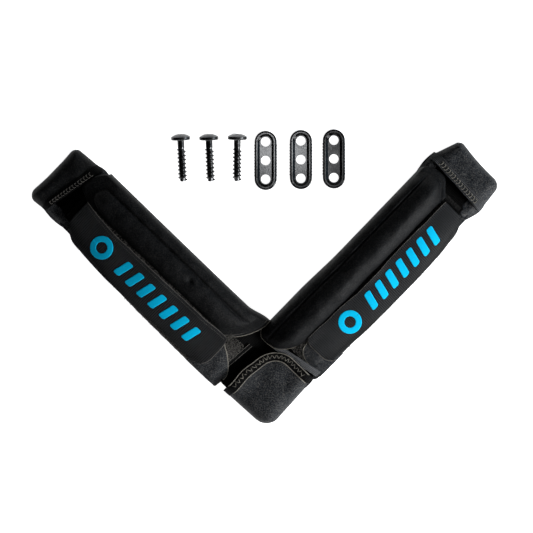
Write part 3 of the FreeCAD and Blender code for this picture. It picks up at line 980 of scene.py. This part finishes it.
def cap_height(edge, top, rise=0.0):
    """Z of a cap's middle surface, from how far it is inside its closed edges."""
    low, shoulder = 0.9, 9.5
    share = min(1.0, edge / shoulder)
    return low + (top - low) * max(0.0, 1 - (1 - share) ** 2.6) ** 0.5 + rise


def tab_surface(side, s, t, lift=0.0):
    """A place on the outer anchor's pocket, from its mouth at S 0 to its tip, and its U and V."""
    lie = LIE[side]
    (near_lo, near_hi), (far_lo, far_hi) = lie["tab_v"]
    v0, v1 = mix(near_lo, far_lo, s), mix(near_hi, far_hi, s)
    v = mix(v0, v1, t)
    mouth, tip = tab_limits(side, t)
    tip -= corner(v - v0, 6.0) + corner(v1 - v, 4.5)
    u = mix(mouth, tip, s)
    edge = min(v - v0, v1 - v, (tip - u) * 1.2)
    puff = 0.5 * wobble(u, v, lie["seed"] + 9, 9) + 1.2 * math.sin(math.pi * t) * (1 - s)
    return at(side, u, v, cap_height(edge, 9.2, puff * min(1.0, edge / 4)) + lift), (u, v)


def mouth_blend(obj, side):
    """Bakes the transform of a piece of the tab's pocket into its mesh."""
    tab_blend(obj, side, 193, 205)


def tab(side):
    """The outer anchor's pocket, its bound mouth, its stitches and its knit sides."""
    across = shares(42.0, 1.0)
    # Painted light: the right tab's pocket takes the paler knit, where the left tab keeps the dark one.
    cap = cloth(side + "_tab_pocket", lambda s, t: tab_surface(side, s, t), shares(20.0, 0.8), across, 2.2,
                NEOPRENE if side == "left" else NEOPRENE_PALE_AND_LIT)
    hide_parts(side + "_tab_cap")
    mouth_blend(cap, side)
    band_rows = [x / 20 for x in stations(-0.9, 5.0, 0.7)]
    # Painted light: the right tab's band takes the lighter copy of the tape, where the left tab keeps the dark
    # one.
    band = cloth(side + "_tab_band", lambda s, t: tab_surface(side, s, t, 0.35), band_rows, across, 2.5,
                 TAPE if side == "left" else PAINTED_LIT_TAPE)
    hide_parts(side + "_tab_binding")
    mouth_blend(band, side)

    def on_band(s, t):
        return tab_surface(side, s, mix(0.12, 0.88, t), 1.95)[0]

    stitches = []
    count, low, high = 15, 0.02, 0.15
    for k in range(count):
        here, there = k / count, (k + 0.62) / count
        stitches += [(on_band(low, here), on_band(low, there)), (on_band(high, here), on_band(high, there)),
                     (on_band(low, here), on_band(high, here))]
    obj = seam(side + "_tab_stitches", stitches, 0.24, THREAD if side == "left" else PIPING)
    mouth_blend(obj, side)
    path = [tab_surface(side, 0.225, t, 1.2)[0] for t in spread(0.04, 0.96, 40)]
    mouth_blend(tube(side + "_tab_edge_line", path, 0.3, PIPING), side)
    gusset(side)


def gusset(side):
    """The soft knit sides of the outer anchor, between the arm and the pocket."""
    lie = LIE[side]
    outer_v, inner_v = lie["tab_v"][0]
    edges = (("outer", outer_v, -8.0, -16.8, 0.04, 1), ("inner", inner_v, 24.0, 31.4, 0.96, -1))
    for name, tab_edge, inside, arm_edge, share, way in edges:
        mouth = tab_limits(side, share)[0]

        def surface(s, t):
            u = mix(182.5, mouth + 4.5, s)
            rim = mix(arm_edge, tab_edge - 0.5 * way, smooth(s)) - 1.3 * way * math.sin(math.pi * s)
            v = mix(rim, inside, t)
            z = mix(3.0, 7.6, smooth(t, 0, 0.5)) + 0.5 * wobble(u, v, lie["seed"] + 3, 6)
            return at(side, u, v, z - 1.8 * math.sin(math.pi * s) * t), (u, v)

        obj = cloth("%s_tab_gusset_%s" % (side, name), surface, shares(17.0, 1.0), shares(9.0, 1.0), 1.4,
                    NEOPRENE_PALE_AND_LIT)
        tab_blend(obj, side, 189.5, 196)


SOLE_TOP = 1.9


def sole_plate(name, node, points, top, hole, body):
    """A rubber sole with its screw hole: rings of the outline drawn in to the hole."""
    hole_r = 3.4
    rings = ((0.0, 0.25), (0.0, top - 0.3), (0.03, top), (0.5, top), (1.0, top), (1.0, 0.0), (0.5, 0.0),
             (0.03, 0.0))
    verts = []
    for share, z in rings:
        for point in points:
            drawn = point.lerp(hole + (point - hole).normalized() * hole_r * MM, share)
            verts.append(Vector((drawn.x, drawn.y, z * MM)))
    closed = grid_faces(len(rings) + 1, len(points), loop=True)
    faces = [tuple(n % len(verts) for n in face) for face in closed]
    obj = outward(new_object(name, verts, faces, SOLE))
    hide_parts(node)
    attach(obj, body)


def rounded_box(u, v, radius):
    """Points round a rounded rectangle between U and V limits."""
    (u0, u1), (v0, v1) = u, v
    found = []
    steps = 8
    for cu, cv, first in ((u1 - radius, v1 - radius, 0), (u0 + radius, v1 - radius, 90),
                          (u0 + radius, v0 + radius, 180), (u1 - radius, v0 + radius, 270)):
        for k in range(steps + 1):
            a = math.radians(first + 90 * k / steps)
            found.append((cu + radius * math.cos(a), cv + radius * math.sin(a)))
    dense = []
    for i, p in enumerate(found):
        q = found[(i + 1) % len(found)]
        gap = math.dist(p, q)
        parts = max(1, round(gap / 2.0))
        dense += [(mix(p[0], q[0], j / parts), mix(p[1], q[1], j / parts)) for j in range(parts)]
    return dense


def tab_sole(side):
    """The rubber sole under the outer anchor."""
    hole = at(side, 206.5, 6.75, 0)
    points = [at(side, u, v, 0) for u, v in rounded_box((198.5, 214.6), (-10.6, 24.1), 2.4)]
    sole_plate(side + "_tab_sole_pad", side + "_tab_sole", points, SOLE_TOP, hole, side + "_tab")


# ---- the centre anchor
CAP_LOW_A, CAP_HIGH_A = -18.2, 28.4
CAP_LOW_B, CAP_HIGH_B = -18.1, 20.6
CAP_FRONT_R, CAP_ARCH_R = 10.0, 17.5
CAP_SKEW = 0.036
CAP_TOP = 9.8


def cap_place(a, b, z):
    """A place on the centre anchor, whose A and B run along the right and left arms."""
    a -= CAP_SKEW * (b - CAP_LOW_B) * smooth(a, 10, -10)
    b += CAP_SKEW * (a - CAP_LOW_A) * smooth(b, 10, -10) - 1.4 * smooth(b, 0, 20) * (a - 3) / 30
    b += 1.5 * smooth(b, 4, 20) * math.exp(-(((a + 1.0) / 8.0) ** 2))
    return at("right", a, b, z)


def cap_rise(a, b):
    """Z of the cap's middle surface."""
    low_a = CAP_LOW_A + corner(b - CAP_LOW_B, CAP_FRONT_R)
    edge = min(a - low_a, b - CAP_LOW_B)
    near_mouth = smooth(min(CAP_HIGH_A - a, CAP_HIGH_B - b), 14, 0)
    puff = 0.6 * wobble(a, b, 2.0, 13) + 1.2 * near_mouth
    return cap_height(max(0.0, edge), CAP_TOP, puff * min(1.0, edge / 5))


def cap_blend(obj):
    """Bakes the transform of a piece of the centre pocket, which lies on the right arm, into its mesh."""
    place("right", 19, 3, 3)
    place("right", 36, 3, 3)
    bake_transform(obj)


def centre_cap():
    def surface(s, t):
        b = mix(CAP_LOW_B, CAP_HIGH_B, t)
        low = CAP_LOW_A + corner(b - CAP_LOW_B, CAP_FRONT_R)
        high = CAP_HIGH_A - corner(CAP_HIGH_B - b, CAP_ARCH_R)
        a = mix(low, high, s)
        return cap_place(a, b, cap_rise(a, b)), (a, b)

    rows = shares(44.0, 0.9)
    cap = cloth("centre_pocket_cap", surface, rows, rows, 2.4, NEOPRENE_PALE_AND_LIT)
    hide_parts("centre_cap")
    cap_blend(cap)


def mouth_place(x, inset, lift):
    """A place along the pocket's mouth, X from 0 by the right arm to 1 by the left, drawn in by inset."""
    right_run = CAP_HIGH_B - CAP_ARCH_R - CAP_LOW_B
    left_run = CAP_HIGH_A - CAP_ARCH_R - CAP_LOW_A
    bend = CAP_ARCH_R * math.pi / 2
    total = right_run + bend + left_run
    d = x * total
    if d < right_run:
        a, b = CAP_HIGH_A - inset, CAP_LOW_B + d
    elif d < right_run + bend:
        angle = (d - right_run) / CAP_ARCH_R
        reach = CAP_ARCH_R - inset
        a = CAP_HIGH_A - CAP_ARCH_R + reach * math.cos(angle)
        b = CAP_HIGH_B - CAP_ARCH_R + reach * math.sin(angle)
    else:
        a, b = CAP_LOW_A + (total - d), CAP_HIGH_B - inset
    return cap_place(a, b, cap_rise(a, b) + lift)


def centre_binding():
    """The tape round the pocket's mouth, its two light lines and its zigzag stitches."""
    def surface(s, t):
        crown = 0.5 * math.sin(math.pi * s)
        return mouth_place(t, mix(-0.8, 4.8, s), 0.45 + crown), (t * 72, s * 5.2)

    band = cloth("centre_band", surface, shares(5.6, 0.8), shares(72.0, 0.9), 2.9, TAPE)
    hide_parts("centre_binding")
    cap_blend(band)
    lines = (("centre_outer_line", -0.3, 2.0, 0.42), ("centre_inner_line", 5.6, 1.4, 0.36))
    for name, inset, lift, radius in lines:
        path = [mouth_place(x, inset, lift) for x in spread(0.02, 0.98, 110)]
        cap_blend(tube(name, path, radius, PIPING))
    zigzag = []
    count = 40
    rng = random.Random(5)
    for k in range(count):
        x0 = mix(0.05, 0.95, (k + rng.uniform(-0.15, 0.15)) / count)
        x1 = mix(0.05, 0.95, (k + 0.9 + rng.uniform(-0.15, 0.15)) / count)
        here, there = (1.0, 3.8) if k % 2 else (3.8, 1.0)
        there += rng.uniform(-0.7, 0.7)
        zigzag.append((mouth_place(x0, here, 2.15), mouth_place(x1, there, 2.15)))
    obj = seam("centre_zigzag", zigzag, 0.27, PIPING)
    cap_blend(obj)


def centre_sole():
    """The rubber sole under the centre anchor."""
    inset = 2.8
    outline = rounded_box((CAP_LOW_A + inset, 20.8), (CAP_LOW_B + inset, 18.6), 7.0)
    points = [at("right", a, b, 0) for a, b in outline]
    sole_plate("centre_sole_pad", "centre_sole", points, SOLE_TOP, Vector((0, 0, 0)), "centre_anchor")


def hook_tapes(side):
    """The hook tapes under the flap and on the end strap."""
    def under_flap(s, t):
        v = mix(-16.8, -2.0, t)
        u = mix(54, 173, s)
        return place(side, u, v, flap_height(side, u, v) - FLAP_T / 2 - 0.25), (u, v)

    across = shares(14.8, 1.5)
    obj = cloth(side + "_flap_hooks", under_flap, shares(119.0, 2.0), across, 0.5, HOOKS, smoothed=False)
    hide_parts(side + "_hook_patch")
    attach(obj, side + "_flap")

    def on_strap(s, t):
        u, v = mix(115, 186, s), mix(-8.5, 22, t)
        return place(side, u, v, END_STRAP_MID + 1.15), (u, v)

    obj = cloth(side + "_strap_hooks", on_strap, shares(71.0, 2.0), across, 0.6, HOOKS, smoothed=False)
    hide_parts(side + "_end_hook")
    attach(obj, side + "_end_strap")


# ---- hardware keeps its CAD meshes
def hardware():
    """Gives the screws and the washer plates their metals."""
    for name, node in frame["nodes"].items():
        if name.startswith(("screw_", "washer_plate_")):
            node.data.materials.clear()
            node.data.materials.append(SCREW_STEEL if name.startswith("screw_") else PLATE_STEEL)


# ---- camera, floor and light
VIEW_CENTRE = Vector((1.2, 87.2, 0.0)) * MM
VIEW_WIDTH, VIEW_DISTANCE = 0.3735, 1.6
VIEW_ROLL = math.radians(-1.0)
SENSOR = 36.0


def camera():
    """Looks straight down."""
    data = bpy.data.cameras.new("camera")
    data.sensor_width = SENSOR
    data.lens = SENSOR * VIEW_DISTANCE / VIEW_WIDTH
    obj = linked("camera", data)
    obj.location = VIEW_CENTRE + Vector((0, 0, VIEW_DISTANCE))
    obj.rotation_euler = (0, 0, VIEW_ROLL)
    bpy.context.scene.camera = obj


def floor():
    """The plain white ground, which shines enough to stay white."""
    size = 40.0
    corners = [(-size, -size, 0), (size, -size, 0), (size, size, 0), (-size, size, 0)]
    material = shader("floor_white", (0.92, 0.92, 0.92), 0.9)
    bsdf = material.node_tree.nodes["Principled BSDF"]
    bsdf.inputs["Emission Color"].default_value = (1, 1, 1, 1)
    bsdf.inputs["Emission Strength"].default_value = 1.0
    obj = new_object("floor", corners, [(0, 1, 2, 3)], material)
    obj.location.z = -0.5 * MM


def area_light(name, place_at, target, size, power, color=(1, 1, 1)):
    data = bpy.data.lights.new(name, "AREA")
    data.shape = "RECTANGLE"
    data.size, data.size_y = size
    data.energy = power
    data.color = color
    obj = linked(name, data)
    obj.location = place_at
    obj.rotation_euler = (Vector(target) - Vector(place_at)).to_track_quat("-Z", "Y").to_euler()


def lights():
    target = (0, 0.08, 0)
    area_light("key", (1.03, -0.38, 0.52), target, (0.5, 0.4), 28)
    area_light("fill", (-0.10, -1.1, 0.9), target, (0.9, 0.6), 4.5)
    area_light("rim", (0.95, 0.3, 0.30), target, (0.3, 0.6), 1.6, (0.55, 0.78, 1.0))
    area_light("card", (0.020, 0.256, 1.7), target, (0.095, 0.034), 0.36)
    area_light("large_card", (0.045, 0.235, 1.72), target, (0.24, 0.11), 0.27)
    world = bpy.data.worlds.new("studio")
    world.use_nodes = True
    background = world.node_tree.nodes["Background"]
    background.inputs["Color"].default_value = (1, 1, 1, 1)
    background.inputs["Strength"].default_value = 0.015
    bpy.context.scene.world = world
    bpy.context.scene.view_settings.view_transform = "Standard"


camera()
floor()
lights()
for side in ("left", "right"):
    base_layers(side)
    load_strap(side)
    end_strap(side)
    panel(side)
    fuzz(side)
    hook_tapes(side)
    flap(side)
    flap_piping(side)
    flap_print(side)
    roll(side)
    roll_trim(side)
    tongue(side)
    strap_band(side)
    tab(side)
    tab_sole(side)
centre_cap()
centre_binding()
centre_sole()
hardware()
